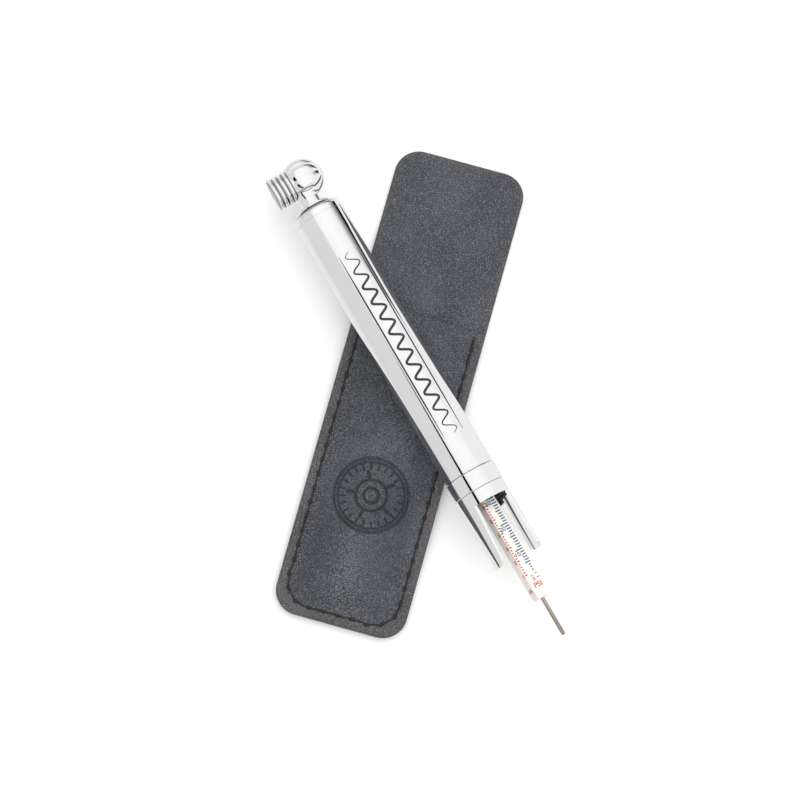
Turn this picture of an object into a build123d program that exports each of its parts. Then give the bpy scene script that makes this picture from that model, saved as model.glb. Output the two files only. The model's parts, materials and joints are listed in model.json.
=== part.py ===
from build123d import *
from math import cos, radians, sin
import os

os.makedirs("parts", exist_ok=True)

# A pencil tire pressure gauge lying across its leather slip case.
# Millimetres. z = 0 is the surface that the case lies on. +X runs along the gauge,
# from its ball head to its bleeder pin, and the chuck opens towards -Y.

# ------------------------------------------------------------------ driving dimensions
# Leather slip case
case_length = 146.9
case_width = 40.2
case_corner_r = 7.5
case_centre_x = -6.57
case_turn = 45.4  # degrees that the case is turned clockwise from the gauge's axis
leather = 1.4
pocket_depth = 96.9
pocket_rise = 3.0  # how far the formed pocket stands above its sewn border
pocket_slope = 55.0  # degrees from upright
border = 5.5  # flat sewn border round the formed pocket
seam_inset = 3.0
seam_corner_r = 4.0
stitch_pitch = 4.4
stitch_length = 3.5
thread_width = 0.6
thread_height = 0.3

# Gauge axis
barrel_r = 7.75
rest_gap = 0.25
axis_y = 4.22
axis_z = 2 * leather + pocket_rise + rest_gap + barrel_r

# Head and chuck. "Out" is measured from the gauge's axis towards the chuck's mouth.
head_x = -75.3
ball_r = 6.55
ball_out = -1.2
ball_core_r = 5.75
ball_lobes = 8
ball_lobe_r = 3.0
ball_lobe_turn = 27.5  # degrees from +Z towards +X to the crest of a lobe
collar_r = 5.35
collar_out = 0.9
neck_r = 3.4
bead_x = -66.25
bead_r = 5.3
bead_width = 0.9
shank_r = 2.9
shank_end = -59.6
air_passage_r = 1.0
mouth_out = 8.9
rib_count = 4
rib_pitch = 1.55
rib_crest_r = 5.35
rib_root_r = 4.75
stem_bore_r = 4.3
washer_face_out = 4.0
washer_seat_r = 4.5
ferrule_seat_out = mouth_out - rib_count * rib_pitch - 0.1
spigot_end_out = 1.4
spigot_r = 4.9
depressor_r = 0.7

# Barrel, from the cap's rim to the end band
cap_front = -65.3
cap_rim_r = 7.7
barrel_start = -62.3
cap_end = -55.4
cap_floor = -59.35
barrel_end = 26.95
barrel_bore_r = 7.15
band_end = 32.7
band_r = 7.95
groove = 0.1

# Fork sleeve at the reading end
window_x = 36.7
fork_tip = 55.7
fork_roll = -14.0
fork_bore_r = 7.2
leg_half_base = 5.29
leg_half_tip = 4.22
leg_tip_r = 2.2
insert_r = 7.1
insert_start = 20.9
bush_bore_r = 6.5
bush_end = 32.6
pad_end = 35.7
ring_start = 35.8
ring_end = 36.4
ring_groove_r = 7.4

# Calibrated cylinder, piston and spring, with the bar a little over half way out
cylinder_r = 5.5
cylinder_bore_r = 5.0
cylinder_start = -58.3
cylinder_end = 20.6
piston_back = -24.4
piston_r = 4.92
cup_r = 4.95
spring_mean_r = 4.0
wire_r = 0.4
spring_coils = 14

# Indicator bar and bleeder pin
bar_side = 4.55
bar_roll = -17.0
bar_start = -22.4
bar_end = 69.35
bar_edge_r = 0.25
bar_bevel = 0.8
bar_clearance = 0.05
pin_r = 0.65
pin_tip = 81.85
pin_root_r = 1.1
pin_depth = 6.0

fit = 0.02  # gap between pieces that are screwed or pressed together

# ------------------------------------------------------------------ planes and axes
GAUGE_AXIS = Axis(origin=(0, axis_y, axis_z), direction=(1, 0, 0))
CHUCK_AXIS = Axis(origin=(head_x, axis_y, axis_z), direction=(0, -1, 0))
# Sections that hold an axis: the first coordinate runs along it, the second is radius
AXIAL = Plane(origin=(0, axis_y, axis_z), x_dir=(1, 0, 0), z_dir=(0, -1, 0))
CHUCK = Plane(origin=(head_x, axis_y, axis_z), x_dir=(0, -1, 0), z_dir=(-1, 0, 0))
# Square to the chuck's axis, for discs and holes stacked outwards
CHUCK_FACE = Plane(origin=(head_x, axis_y, axis_z), x_dir=(1, 0, 0), z_dir=(0, -1, 0))
# The case's own plane: the first coordinate runs from its open end to the pocket's bottom
CASE = Plane(
    origin=(case_centre_x, 0, 0),
    x_dir=(cos(radians(case_turn)), -sin(radians(case_turn)), 0),
    z_dir=(0, 0, 1),
)


def chuck_section(turn):
    """A plane like CHUCK, with its radius turned from +Z towards +X by an angle in degrees."""
    facing = (-cos(radians(turn)), 0, sin(radians(turn)))
    return Plane(origin=(head_x, axis_y, axis_z), x_dir=(0, -1, 0), z_dir=facing)


def across(x):
    """The plane square to the gauge's axis at x, with world +Y as its first axis."""
    return Plane(origin=(x, axis_y, axis_z), x_dir=(0, 1, 0), z_dir=(1, 0, 0))


def turned(section, axis, *outline):
    """A solid turned about an axis from (station, radius) points."""
    with BuildPart() as piece:
        with BuildSketch(section):
            with BuildLine():
                Polyline(*outline, close=True)
            make_face()
        revolve(axis=axis)
    return piece


def ring(start, end, inner_r, outer_r):
    """A plain ring round the gauge's axis."""
    outline = ((start, inner_r), (start, outer_r), (end, outer_r), (end, inner_r))
    return turned(AXIAL, GAUGE_AXIS, *outline)


def finish(piece, name):
    """Label a finished piece and write it."""
    piece.part.label = name
    export_step(piece.part, f"parts/{name}.step")


# ------------------------------------------------------------------ leather slip case
# Back panel: the full outline, cut from one flat skin
with BuildPart() as case_back_panel:
    with BuildSketch(CASE):
        RectangleRounded(case_length, case_width, case_corner_r)
    extrude(amount=leather)
finish(case_back_panel, "case_back_panel")

# Front panel: the pocket, flat along its sewn border and formed up in the middle.
# The formed part runs out through the mouth, where the pocket is open.
mouth_x = case_length / 2 - pocket_depth
formed_length = case_length / 2 - border - mouth_x
overrun = 20.0
formed_centre = (mouth_x - overrun + case_length / 2 - border) / 2
hollow_inset = 0.44  # keeps the sloping wall as thick as the flat leather
with BuildPart() as case_front_panel:
    with BuildSketch(CASE.offset(leather)):
        RectangleRounded(case_length, case_width, case_corner_r)
    extrude(amount=leather)
    with BuildSketch(CASE.offset(2 * leather)):
        with Locations((formed_centre, 0)):
            RectangleRounded(formed_length + overrun, case_width - 2 * border, 6.0)
    extrude(amount=pocket_rise, taper=pocket_slope)
    with BuildSketch(CASE.offset(leather)):
        with Locations((formed_centre, 0)):
            RectangleRounded(
                formed_length + overrun - 2 * hollow_inset,
                case_width - 2 * border - 2 * hollow_inset,
                6.0 - hollow_inset,
            )
    extrude(amount=pocket_rise, taper=pocket_slope, mode=Mode.SUBTRACT)
    with BuildSketch(CASE):
        with Locations((mouth_x, 0)):
            Rectangle(case_length, case_width + 2, align=(Align.MAX, Align.CENTER))
    extrude(amount=20, mode=Mode.SUBTRACT)
finish(case_front_panel, "case_front_panel")

# Stitching: flat thread bars along the sewn border, down one side, round and back
seam_half = case_width / 2 - seam_inset
seam_bottom = case_length / 2 - seam_inset
with BuildLine(CASE.offset(2 * leather)) as seam_line:
    FilletPolyline(
        (mouth_x + 1, seam_half),
        (seam_bottom, seam_half),
        (seam_bottom, -seam_half),
        (mouth_x + 1, -seam_half),
        radius=seam_corner_r,
    )
seam = seam_line.wire()
stitch_count = round(seam.length / stitch_pitch)
with BuildPart() as case_stitching:
    for number in range(stitch_count):
        along = (number + 0.5) / stitch_count
        with BuildSketch(Plane(seam @ along, x_dir=seam % along, z_dir=(0, 0, 1))):
            SlotOverall(stitch_length, thread_width)
        extrude(amount=thread_height)
finish(case_stitching, "case_stitching")

# ------------------------------------------------------------------ head and chuck
# Head: a ball with a flat for the chuck, a neck with a bead, and a screwed shank
with BuildPart() as head_casting:
    # ball of rounded lobes that meet at its top, each ring making two opposite ones
    with Locations(CHUCK):
        with Locations((ball_out, 0)):
            Sphere(ball_core_r)
    for lobe in range(ball_lobes // 2):
        with Locations(chuck_section(ball_lobe_turn + 360 / ball_lobes * lobe)):
            with Locations((ball_out, 0)):
                Torus(ball_r - ball_lobe_r, ball_lobe_r)
    with BuildSketch(CHUCK_FACE.offset(collar_out)):
        Circle(collar_r)
    extrude(amount=ferrule_seat_out - collar_out)
    with BuildSketch(CHUCK_FACE.offset(ferrule_seat_out)):
        Circle(ball_r)
    extrude(amount=ball_r, mode=Mode.SUBTRACT)
    with BuildSketch(AXIAL):
        with BuildLine():
            Polyline(
                (head_x + 2, 0),
                (head_x + 2, neck_r + 0.9),
                (head_x + 5.1, neck_r + 0.5),
                (head_x + 6.2, neck_r),
                (bead_x, neck_r),
                (bead_x, 0),
                close=True,
            )
        make_face()
    revolve(axis=GAUGE_AXIS)
    with BuildSketch(AXIAL):
        with Locations((bead_x, bead_r / 2 + 0.5)):
            RectangleRounded(bead_width, bead_r - 1, bead_width / 2 - 0.02)
    revolve(axis=GAUGE_AXIS)
    with BuildSketch(across(bead_x)):
        Circle(shank_r)
    extrude(amount=shank_end - bead_x)
    # the neck's root is scooped away where the ferrule screws on
    with BuildSketch(CHUCK_FACE.offset(ferrule_seat_out)):
        Circle(rib_crest_r + 0.1)
    extrude(amount=mouth_out, mode=Mode.SUBTRACT)
    # recess for the ferrule's spigot, air chamber, and the depressor's blind hole
    with BuildSketch(CHUCK):
        with BuildLine():
            Polyline(
                (ferrule_seat_out + 1, 0),
                (ferrule_seat_out + 1, spigot_r + fit),
                (spigot_end_out - fit, spigot_r + fit),
                (spigot_end_out - fit, 1.5),
                (-1.3, 1.5),
                (-1.3, depressor_r + fit),
                (-2.5, depressor_r + fit),
                (-2.5, 0),
                close=True,
            )
        make_face()
    revolve(axis=CHUCK_AXIS, mode=Mode.SUBTRACT)
    # air passage along the neck into the barrel
    with BuildSketch(across(head_x)):
        Circle(air_passage_r)
    extrude(amount=shank_end - head_x, mode=Mode.SUBTRACT)
finish(head_casting, "head_casting")

# Chuck ferrule: ribbed outside for the fingers, bored for the valve stem
with BuildPart() as chuck_ferrule:
    with BuildSketch(CHUCK):
        with BuildLine():
            Polyline(
                (mouth_out, stem_bore_r + 0.35),
                (mouth_out - 0.35, rib_root_r),
                (ferrule_seat_out, rib_root_r),
                (ferrule_seat_out, spigot_r),
                (spigot_end_out, spigot_r),
                (spigot_end_out, washer_seat_r),
                (washer_face_out, washer_seat_r),
                (washer_face_out, stem_bore_r),
                (mouth_out, stem_bore_r),
                close=True,
            )
        make_face()
        for number in range(rib_count):
            with Locations((mouth_out - rib_pitch * (number + 0.5), rib_root_r - 0.2)):
                SlotOverall(2 * (rib_crest_r - rib_root_r + 0.2), 1.2, rotation=90)
        # the slots' inner halves are bored away again
        with Locations((spigot_end_out, 0)):
            Rectangle(
                mouth_out - spigot_end_out + 1,
                stem_bore_r,
                align=(Align.MIN, Align.MIN),
                mode=Mode.SUBTRACT,
            )
        with Locations((spigot_end_out, 0)):
            Rectangle(
                washer_face_out - spigot_end_out,
                washer_seat_r,
                align=(Align.MIN, Align.MIN),
                mode=Mode.SUBTRACT,
            )
    revolve(axis=CHUCK_AXIS)
finish(chuck_ferrule, "chuck_ferrule")

# Rubber washer that seals on the valve stem's rim
chuck_washer = turned(
    CHUCK,
    CHUCK_AXIS,
    (washer_face_out - fit, 1.6),
    (washer_face_out - fit, washer_seat_r - fit),
    (1.7, washer_seat_r - fit),
    (1.7, 1.6),
)
finish(chuck_washer, "chuck_washer")

# Dust screen behind the washer, a thin pierced disc
with BuildPart() as dust_screen:
    with BuildSketch(CHUCK_FACE.offset(spigot_end_out)):
        Circle(washer_seat_r - fit)
        Circle(depressor_r + 0.1, mode=Mode.SUBTRACT)
        with PolarLocations(1.25, 8):
            Circle(0.22, mode=Mode.SUBTRACT)
    extrude(amount=0.28)
finish(dust_screen, "dust_screen")

# Depressor pin that opens the valve core; its tip stays just behind the washer's face
core_depressor = turned(
    CHUCK,
    CHUCK_AXIS,
    (-2.4, 0),
    (-2.4, depressor_r),
    (washer_face_out - 0.4, depressor_r),
    (washer_face_out - 0.1, depressor_r - 0.3),
    (washer_face_out - 0.1, 0),
)
finish(core_depressor, "core_depressor")

# ------------------------------------------------------------------ cap and barrel
# Domed cap that closes the barrel and takes the head's shank
with BuildPart() as barrel_cap:
    with BuildSketch(AXIAL):
        with BuildLine():
            ThreePointArc((cap_front, 5.3), (-65.25, 6.75), (-64.15, 7.55))
            Polyline(
                (-64.15, 7.55),
                (-64.0, cap_rim_r),
                (barrel_start - groove, cap_rim_r),
                (barrel_start - groove, insert_r),
                (cap_end, insert_r),
                (cap_end, cylinder_r + fit),
                (cap_floor, cylinder_r + fit),
                (cap_floor, shank_r + fit),
                (cap_front, shank_r + fit),
                (cap_front, 5.3),
            )
        make_face()
    revolve(axis=GAUGE_AXIS)
finish(barrel_cap, "barrel_cap")

# Gasket between the head's bead and the cap
neck_gasket = ring(bead_x + bead_width / 2 + fit, cap_front - fit, shank_r + fit, 4.9)
finish(neck_gasket, "neck_gasket")

# Seal that the calibrated cylinder stands on inside the cap
cap_seal = ring(cap_floor + fit, cylinder_start - fit, 1.6, cylinder_r - fit)
finish(cap_seal, "cap_seal")

barrel_tube = ring(barrel_start, barrel_end - groove, barrel_bore_r, barrel_r)
finish(barrel_tube, "barrel_tube")

# Raised band over the joint between barrel and fork sleeve
with BuildPart() as end_band:
    with BuildSketch(AXIAL):
        with Locations(((barrel_end + band_end) / 2, (insert_r + fit + band_r) / 2)):
            Rectangle(band_end - barrel_end - groove, band_r - insert_r - fit)
    revolve(axis=GAUGE_AXIS)
    rims = end_band.edges().filter_by(GeomType.CIRCLE)
    fillet(rims.group_by(SortBy.RADIUS)[-1], radius=0.2)
finish(end_band, "end_band")

# ------------------------------------------------------------------ fork sleeve
# An insert inside the barrel, then two tapering legs left of a tube by wide windows
with BuildPart() as fork_sleeve:
    with BuildSketch(AXIAL):
        with BuildLine():
            Polyline(
                (insert_start, bush_bore_r),
                (insert_start, insert_r),
                (band_end + groove / 2, insert_r),
                (band_end + groove / 2, barrel_r),
                (fork_tip, barrel_r),
                (fork_tip, fork_bore_r),
                (ring_end + fit, fork_bore_r),
                (ring_end + fit, ring_groove_r),
                (ring_start - fit, ring_groove_r),
                (ring_start - fit, bush_bore_r),
                close=True,
            )
        make_face()
    revolve(axis=GAUGE_AXIS)
    with BuildSketch(AXIAL.rotated((fork_roll, 0, 0))):
        with BuildLine():
            Polyline(
                (insert_start - 1, -10),
                (window_x, -10),
                (window_x, -leg_half_base),
                (fork_tip, -leg_half_tip),
                (fork_tip, leg_half_tip),
                (window_x, leg_half_base),
                (window_x, 10),
                (insert_start - 1, 10),
                close=True,
            )
        outline = make_face()
        tips = outline.vertices().sort_by(Axis.X)[-2:]
        fillet(tips, radius=leg_tip_r)
    extrude(amount=10, both=True, mode=Mode.INTERSECT)
finish(fork_sleeve, "fork_sleeve")

# Guide bush with the square hole that keeps the bar from turning
with BuildPart() as guide_bush:
    with BuildSketch(across(insert_start)):
        Circle(bush_bore_r - fit)
        Rectangle(
            bar_side + 2 * bar_clearance,
            bar_side + 2 * bar_clearance,
            rotation=bar_roll,
            mode=Mode.SUBTRACT,
        )
    extrude(amount=bush_end - insert_start)
finish(guide_bush, "guide_bush")

# Friction pad that holds the bar where the piston has pushed it
with BuildPart() as friction_pad:
    with BuildSketch(across(bush_end + fit)):
        Circle(bush_bore_r - fit)
        Rectangle(
            bar_side + bar_clearance,
            bar_side + bar_clearance,
            rotation=bar_roll,
            mode=Mode.SUBTRACT,
        )
    extrude(amount=pad_end - bush_end - fit)
finish(friction_pad, "friction_pad")

# Split ring that snaps into the sleeve's groove and keeps the bush in
with BuildPart() as retaining_ring:
    with BuildSketch(across(ring_start)):
        Circle(ring_groove_r - fit)
        Circle(5.7, mode=Mode.SUBTRACT)
        with Locations((0, -6.5)):
            Rectangle(2.4, 3.0, mode=Mode.SUBTRACT)
    extrude(amount=ring_end - ring_start)
finish(retaining_ring, "retaining_ring")

# ------------------------------------------------------------------ cylinder, piston, spring
inner_cylinder = ring(cylinder_start, cylinder_end, cylinder_bore_r, cylinder_r)
finish(inner_cylinder, "inner_cylinder")

# Spacer that centres the cylinder's open end in the barrel
cylinder_spacer = ring(11.0, 15.0, cylinder_r + fit, barrel_bore_r - fit)
finish(cylinder_spacer, "cylinder_spacer")

# The piston is a stack: screw head, washer, cup and body, from the pressure side
cup_back = piston_back - 3.2
cup_front = cup_back - 1.5
washer_front = cup_front - 0.6
screw_front = washer_front - 1.2
screw_r = 1.0

with BuildPart() as piston_body:
    with BuildSketch(across(cup_back)):
        Circle(piston_r)
    extrude(amount=piston_back - cup_back)
    with BuildSketch(across(cup_back)):
        Circle(screw_r + fit)
    extrude(amount=2.4, mode=Mode.SUBTRACT)
finish(piston_body, "piston_body")

piston_cup = turned(
    AXIAL,
    GAUGE_AXIS,
    (cup_back - fit, screw_r + fit),
    (cup_back - fit, cup_r),
    (screw_front + 0.2, cup_r),
    (screw_front + 0.2, cup_r - 0.5),
    (cup_front, cup_r - 0.9),
    (cup_front, screw_r + fit),
)
finish(piston_cup, "piston_cup")

cup_washer = ring(washer_front, cup_front - fit, screw_r + fit, 3.2)
finish(cup_washer, "cup_washer")

with BuildPart() as piston_screw:
    with BuildSketch(across(screw_front)):
        Circle(1.9)
    extrude(amount=washer_front - fit - screw_front)
    with BuildSketch(across(screw_front)):
        Circle(screw_r)
    extrude(amount=cup_back + 2.3 - screw_front)
    with BuildSketch(across(screw_front)):
        Rectangle(5, 0.5)
    extrude(amount=0.5, mode=Mode.SUBTRACT)
finish(piston_screw, "piston_screw")

# Main spring between the piston and the guide bush, round the bar
spring_start = piston_back + wire_r + 0.05
spring_length = insert_start - wire_r - 0.05 - spring_start
with BuildPart() as main_spring:
    with BuildLine() as coil:
        Helix(
            pitch=spring_length / spring_coils,
            height=spring_length,
            radius=spring_mean_r,
            center=(spring_start, axis_y, axis_z),
            direction=(1, 0, 0),
        )
    with BuildSketch(Plane(coil.line @ 0, z_dir=coil.line % 0)):
        Circle(wire_r)
    sweep(path=coil.line, is_frenet=True)
finish(main_spring, "main_spring")

# ------------------------------------------------------------------ indicator
# Square bar that carries the scales
with BuildPart() as indicator_bar:
    with BuildSketch(across(bar_start)):
        Rectangle(bar_side, bar_side, rotation=bar_roll)
        fillet(vertices(), radius=bar_edge_r)
    extrude(amount=bar_end - bar_bevel - bar_start)
    with BuildSketch(across(bar_end - bar_bevel)):
        Rectangle(bar_side, bar_side, rotation=bar_roll)
        fillet(vertices(), radius=bar_edge_r)
    extrude(amount=bar_bevel, taper=25)
    with BuildSketch(across(bar_end - pin_depth)):
        Circle(pin_root_r + fit)
    extrude(amount=pin_depth + 1, mode=Mode.SUBTRACT)
finish(indicator_bar, "indicator_bar")

# Foot that rides on the piston and cannot pass the guide bush
bar_foot = turned(
    AXIAL,
    GAUGE_AXIS,
    (piston_back + 0.05, 0),
    (piston_back + 0.05, 3.3),
    (bar_start - fit, 3.3),
    (bar_start - fit, 0),
)
finish(bar_foot, "bar_foot")

# Bleeder pin, with a thicker root sunk in the bar's end, for letting air out of a valve
with BuildPart() as bleeder_pin:
    with BuildSketch(across(bar_end - pin_depth + fit)):
        Circle(pin_root_r)
    extrude(amount=pin_depth - fit)
    with BuildSketch(across(bar_end)):
        Circle(pin_r)
    extrude(amount=pin_tip - bar_end)
    fillet(bleeder_pin.faces().sort_by(Axis.X)[-1].edges(), radius=0.45)
finish(bleeder_pin, "bleeder_pin")
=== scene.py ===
import json
import math

import bmesh
import bpy
from mathutils import Matrix, Vector


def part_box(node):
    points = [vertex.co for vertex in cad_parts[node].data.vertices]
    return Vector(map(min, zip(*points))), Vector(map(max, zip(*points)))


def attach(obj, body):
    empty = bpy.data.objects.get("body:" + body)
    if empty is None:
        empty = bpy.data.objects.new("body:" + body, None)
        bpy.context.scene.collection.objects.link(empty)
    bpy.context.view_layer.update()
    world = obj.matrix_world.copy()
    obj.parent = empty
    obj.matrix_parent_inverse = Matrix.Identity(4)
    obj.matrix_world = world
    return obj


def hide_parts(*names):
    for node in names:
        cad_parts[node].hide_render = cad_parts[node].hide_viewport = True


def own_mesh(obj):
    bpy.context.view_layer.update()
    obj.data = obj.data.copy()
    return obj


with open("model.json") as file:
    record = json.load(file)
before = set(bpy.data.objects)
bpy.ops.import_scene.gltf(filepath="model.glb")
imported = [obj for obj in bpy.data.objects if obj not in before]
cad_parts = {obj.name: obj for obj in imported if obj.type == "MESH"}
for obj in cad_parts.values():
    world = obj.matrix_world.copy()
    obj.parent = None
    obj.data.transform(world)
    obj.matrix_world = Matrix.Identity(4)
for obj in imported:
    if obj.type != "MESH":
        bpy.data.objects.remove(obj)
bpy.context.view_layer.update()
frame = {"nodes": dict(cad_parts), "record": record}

MM = 0.001

# ------------------------------------------------------------------ places read from the frame
barrel_low, barrel_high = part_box("barrel_tube")
AXIS_Y = (barrel_low[1] + barrel_high[1]) / 2
AXIS_Z = (barrel_low[2] + barrel_high[2]) / 2
BARREL_R = (barrel_high[1] - barrel_low[1]) / 2
BARREL_START = barrel_low[0]
BARREL_END = barrel_high[0]
BAR_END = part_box("indicator_bar")[1][0]
PANEL_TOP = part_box("case_back_panel")[1][2]
POCKET_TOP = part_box("case_front_panel")[1][2]
case_low, case_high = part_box("case_back_panel")
CASE_CENTRE = Vector(((case_low[0] + case_high[0]) / 2, (case_low[1] + case_high[1]) / 2, 0))

# ------------------------------------------------------------------ sizes in metres
CASE_LENGTH = 146.9 * MM
CASE_WIDTH = 40.2 * MM
CASE_CORNER = 7.5 * MM
CASE_TURN = math.radians(-45.4)
LEATHER = 1.4 * MM
POCKET_DEPTH = 96.9 * MM
MOUTH = CASE_LENGTH / 2 - POCKET_DEPTH
SEAM_INSET = 3.0 * MM
SEAM_CORNER = 8.0 * MM
STITCH_PITCH = 4.4 * MM
EMBLEM_X = CASE_LENGTH / 2 - 40.0 * MM
EMBLEM_R = 11.2 * MM
LEATHER_SWELL = 0.06 * MM
POCKET_SWELL = 0.10 * MM
POCKET_SLACK = 0.12 * MM
SEAM_DEPTH = 0.30 * MM
EMBLEM_DEPTH = 0.40 * MM
EMBLEM_GRID = 0.22 * MM
EMBLEM_REACH = 12.8 * MM
STITCH_LENGTH = 3.7 * MM
THREAD_R = 0.17 * MM
BAR_SIDE = 4.55 * MM
BAR_ROLL = math.radians(-17)
PSI = 0.87 * MM
ZERO_X = BAR_END - 6.85 * MM
INK_LIFT = 0.02 * MM
SPRING_WIRE_R = 0.4 * MM
SPRING_COILS = 14


# ------------------------------------------------------------------ node helpers
class Shader:
    """One material's node tree, with short calls for the nodes that are used again and again."""

    def __init__(self, name):
        self.material = bpy.data.materials.new(name)
        self.material.use_nodes = True
        self.nodes = self.material.node_tree.nodes
        self.links = self.material.node_tree.links
        self.bsdf = self.nodes["Principled BSDF"]
        self.place = self.nodes.new("ShaderNodeTexCoord").outputs["Object"]

    def set(self, **values):
        """Constants on the shader's own sockets."""
        for key, value in values.items():
            self.bsdf.inputs[key.replace("_", " ")].default_value = value

    def stretch(self, scale):
        """The object's coordinates, scaled per axis."""
        mapping = self.nodes.new("ShaderNodeMapping")
        mapping.inputs["Scale"].default_value = scale
        self.links.new(self.place, mapping.inputs["Vector"])
        return mapping.outputs["Vector"]

    def noise(self, scale, detail=4, roughness=0.55, place=None):
        node = self.nodes.new("ShaderNodeTexNoise")
        node.inputs["Scale"].default_value = scale
        node.inputs["Detail"].default_value = detail
        node.inputs["Roughness"].default_value = roughness
        self.links.new(place or self.place, node.inputs["Vector"])
        return node.outputs["Fac"]

    def cells(self, scale):
        node = self.nodes.new("ShaderNodeTexVoronoi")
        node.inputs["Scale"].default_value = scale
        self.links.new(self.place, node.inputs["Vector"])
        return node.outputs["Distance"]

    def ramp(self, value, *stops):
        """Colours or greys at places from 0 to 1."""
        node = self.nodes.new("ShaderNodeValToRGB")
        ramp = node.color_ramp
        while len(ramp.elements) < len(stops):
            ramp.elements.new(0.5)
        for element, (place, colour) in zip(ramp.elements, stops):
            element.position = place
            grey = not hasattr(colour, "__len__")
            element.color = (colour,) * 3 + (1,) if grey else (*colour, 1)
        self.links.new(value, node.inputs["Fac"])
        return node.outputs["Color"]

    def math(self, operation, a, b):
        node = self.nodes.new("ShaderNodeMath")
        node.operation = operation
        for socket, value in zip(node.inputs, (a, b)):
            if isinstance(value, (int, float)):
                socket.default_value = value
            else:
                self.links.new(value, socket)
        return node.outputs[0]

    def mix(self, factor, a, b, blend="MIX"):
        node = self.nodes.new("ShaderNodeMix")
        node.data_type = "RGBA"
        node.blend_type = blend
        sockets = (node.inputs[0], node.inputs[6], node.inputs[7])
        for socket, value in zip(sockets, (factor, a, b)):
            if isinstance(value, (int, float)):
                socket.default_value = value
            elif isinstance(value, tuple):
                socket.default_value = (*value, 1)
            else:
                self.links.new(value, socket)
        return node.outputs[2]

    def attribute(self, name):
        node = self.nodes.new("ShaderNodeAttribute")
        node.attribute_name = name
        return node.outputs["Fac"]

    def bump(self, height, strength, distance, normal=None):
        node = self.nodes.new("ShaderNodeBump")
        node.inputs["Strength"].default_value = strength
        node.inputs["Distance"].default_value = distance
        self.links.new(height, node.inputs["Height"])
        if normal:
            self.links.new(normal, node.inputs["Normal"])
        return node.outputs["Normal"]

    def link(self, output, socket):
        self.links.new(output, self.bsdf.inputs[socket])


# ------------------------------------------------------------------ materials
def chrome():
    """Polished plating: a little uneven gloss, and hairlines along and round the piece."""
    s = Shader("polished_chrome")
    s.set(Metallic=1.0)
    smudge = s.noise(90, 5, 0.6)
    s.link(s.ramp(smudge, (0.3, (0.90, 0.905, 0.91)), (0.7, (0.95, 0.95, 0.95))), "Base Color")
    hairline = s.noise(60, 6, 0.7, s.stretch((1, 40, 40)))
    smudged = s.ramp(smudge, (0.35, 0.015), (0.75, 0.055))
    scratched = s.ramp(hairline, (0.62, 0), (0.8, 0.03))
    s.link(s.math("ADD", smudged, scratched), "Roughness")
    s.link(s.bump(hairline, 0.015, 0.00005), "Normal")
    return s.material


def steel():
    """Drawn pin and spring wire, browned a little, with marks along its length."""
    s = Shader("drawn_steel")
    s.set(Metallic=1.0)
    drawn = s.noise(700, 5, 0.6, s.stretch((0.06, 1, 1)))
    s.link(s.ramp(drawn, (0.3, (0.34, 0.27, 0.22)), (0.7, (0.66, 0.58, 0.51))), "Base Color")
    s.link(s.ramp(drawn, (0.3, 0.1), (0.8, 0.22)), "Roughness")
    s.link(s.bump(drawn, 0.15, 0.00004), "Normal")
    return s.material


def brass():
    """Turned brass with fine rings and darker patches."""
    s = Shader("turned_brass")
    s.set(Metallic=1.0)
    turned = s.noise(1500, 3, 0.5, s.stretch((1, 0.1, 0.1)))
    patch = s.noise(200, 4)
    tone = s.ramp(patch, (0.3, (0.55, 0.38, 0.16)), (0.7, (0.78, 0.60, 0.30)))
    s.link(tone, "Base Color")
    s.link(s.ramp(turned, (0.3, 0.22), (0.75, 0.42)), "Roughness")
    s.link(s.bump(turned, 0.2, 0.00003), "Normal")
    return s.material


def rubber():
    s = Shader("moulded_rubber")
    bloom = s.noise(500, 5)
    s.link(s.ramp(bloom, (0.35, (0.012, 0.012, 0.013)), (0.75, (0.035, 0.034, 0.033))), "Base Color")
    s.link(s.ramp(bloom, (0.3, 0.55), (0.75, 0.8)), "Roughness")
    s.link(s.bump(s.noise(2500, 3), 0.2, 0.00004), "Normal")
    return s.material


def bush_plastic():
    s = Shader("dark_bush_plastic")
    cloud = s.noise(260, 4)
    s.link(s.ramp(cloud, (0.3, (0.018, 0.014, 0.012)), (0.75, (0.05, 0.038, 0.03))), "Base Color")
    s.link(s.ramp(cloud, (0.3, 0.42), (0.75, 0.62)), "Roughness")
    s.link(s.bump(s.noise(1800, 4), 0.15, 0.00004), "Normal")
    return s.material


def felt():
    s = Shader("pressed_felt")
    fibre = s.noise(1600, 6, 0.7)
    s.link(s.ramp(fibre, (0.3, (0.025, 0.02, 0.017)), (0.7, (0.08, 0.065, 0.052))), "Base Color")
    s.set(Roughness=0.95)
    s.link(s.bump(fibre, 0.6, 0.0001), "Normal")
    return s.material


def ivory():
    """The bar's cream plastic: slightly yellowed and cloudy, with fine rub marks along it."""
    s = Shader("ivory_bar_plastic")
    cloud = s.noise(120, 4)
    rub = s.noise(900, 4, 0.6, s.stretch((0.08, 1, 1)))
    tone = s.ramp(cloud, (0.25, (0.72, 0.665, 0.60)), (0.75, (0.78, 0.74, 0.69)))
    s.link(tone, "Base Color")
    s.link(s.ramp(rub, (0.3, 0.34), (0.75, 0.48)), "Roughness")
    s.set(Subsurface_Weight=0.15, Subsurface_Scale=0.0012)
    s.link(s.bump(rub, 0.06, 0.00003), "Normal")
    return s.material


def ink(name, dark, pale):
    """Printed ink, thin in places so that it looks worn."""
    s = Shader(name)
    wear = s.noise(2600, 4, 0.6)
    s.link(s.ramp(wear, (0.35, dark), (0.72, pale)), "Base Color")
    s.link(s.ramp(wear, (0.3, 0.4), (0.8, 0.65)), "Roughness")
    s.link(s.bump(wear, 0.1, 0.00002), "Normal")
    return s.material


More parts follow.
